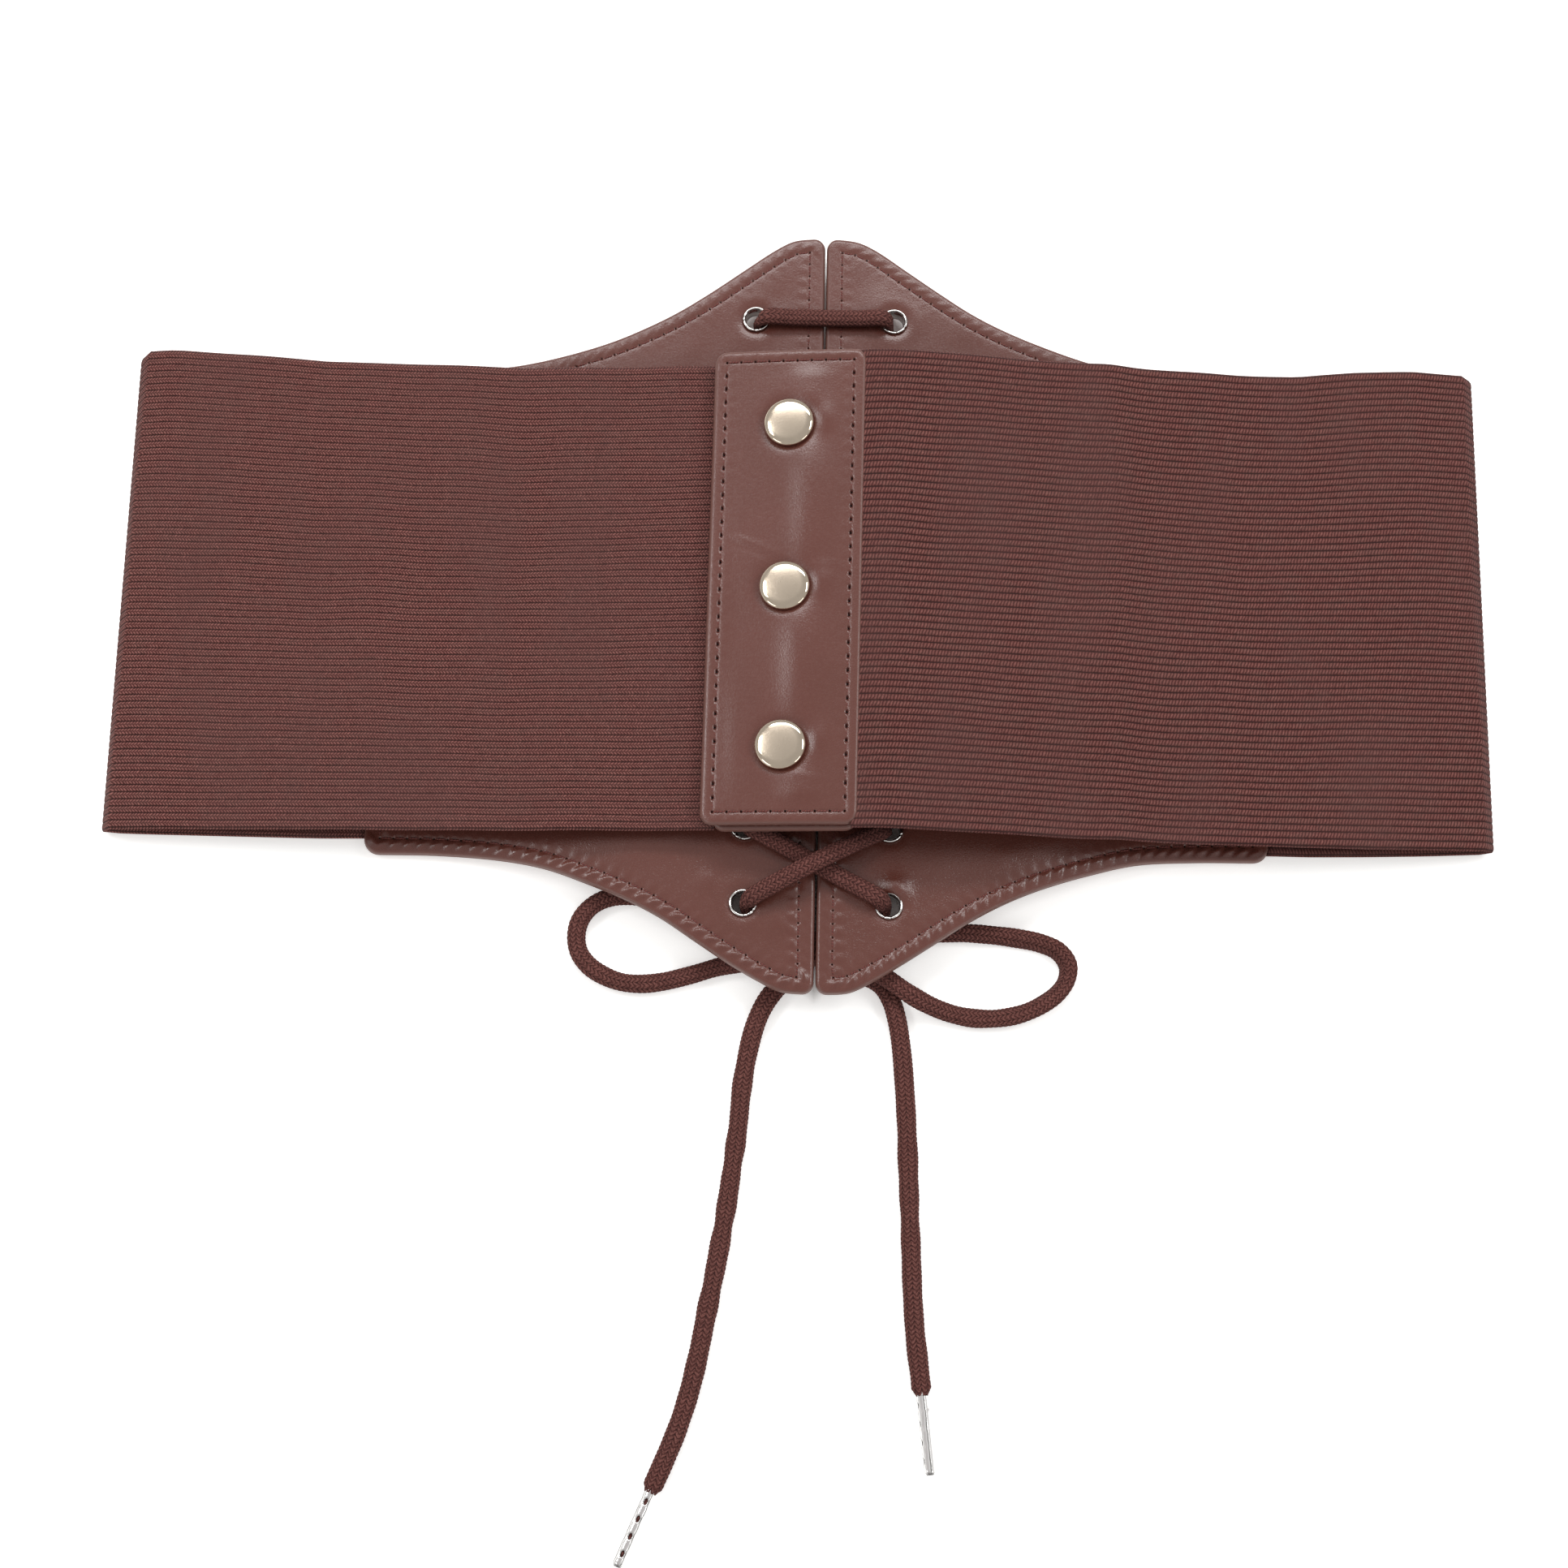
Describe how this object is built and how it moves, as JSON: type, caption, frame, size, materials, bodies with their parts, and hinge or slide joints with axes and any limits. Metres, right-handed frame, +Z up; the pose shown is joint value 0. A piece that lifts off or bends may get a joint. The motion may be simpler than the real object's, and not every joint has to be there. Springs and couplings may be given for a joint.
{
  "type": "waist belt",
  "caption": "Wide corset belt of ribbed elastic, folded flat, with curved leather panels laced at the front and a snap placket at the back.",
  "frame": {"origin": "on the surface the belt lies on, under the middle of the folded elastic loop and of the panels' height", "axes": "+X along the waist, from one fold to the other; +Y towards the upper edge, away from the bow; +Z up from the surface"},
  "size_m": [0.3306, 0.3189, 0.0235],
  "materials": {
    "elastic": "ribbed elastic webbing, matt",
    "leather": "smooth, satin",
    "lace": "braided cord, matt",
    "eyelet_metal": "polished nickel",
    "snap_metal": "satin nickel"
  },
  "bodies": {
    "root": {"elastic_left": "elastic", "elastic_right": "elastic", "panel_left": "leather", "panel_right": "leather", "placket_top": "leather", "placket_under": "leather", "lace_woven": "lace", "bow_knot": "lace", "bow_loop_left": "lace", "bow_loop_right": "lace", "tail_left": "lace", "tail_right": "lace", "eyelet_left_1": "eyelet_metal", "eyelet_left_2": "eyelet_metal", "eyelet_left_3": "eyelet_metal", "eyelet_left_4": "eyelet_metal", "eyelet_left_5": "eyelet_metal", "eyelet_left_6": "eyelet_metal", "eyelet_left_7": "eyelet_metal", "eyelet_left_8": "eyelet_metal", "eyelet_left_9": "eyelet_metal", "eyelet_right_1": "eyelet_metal", "eyelet_right_2": "eyelet_metal", "eyelet_right_3": "eyelet_metal", "eyelet_right_4": "eyelet_metal", "eyelet_right_5": "eyelet_metal", "eyelet_right_6": "eyelet_metal", "eyelet_right_7": "eyelet_metal", "eyelet_right_8": "eyelet_metal", "eyelet_right_9": "eyelet_metal", "aglet_left": "eyelet_metal", "aglet_right": "eyelet_metal", "snap_cap_1": "snap_metal", "snap_cap_2": "snap_metal", "snap_cap_3": "snap_metal", "snap_back_1": "snap_metal", "snap_back_2": "snap_metal", "snap_back_3": "snap_metal"}
  },
  "joints": []
}
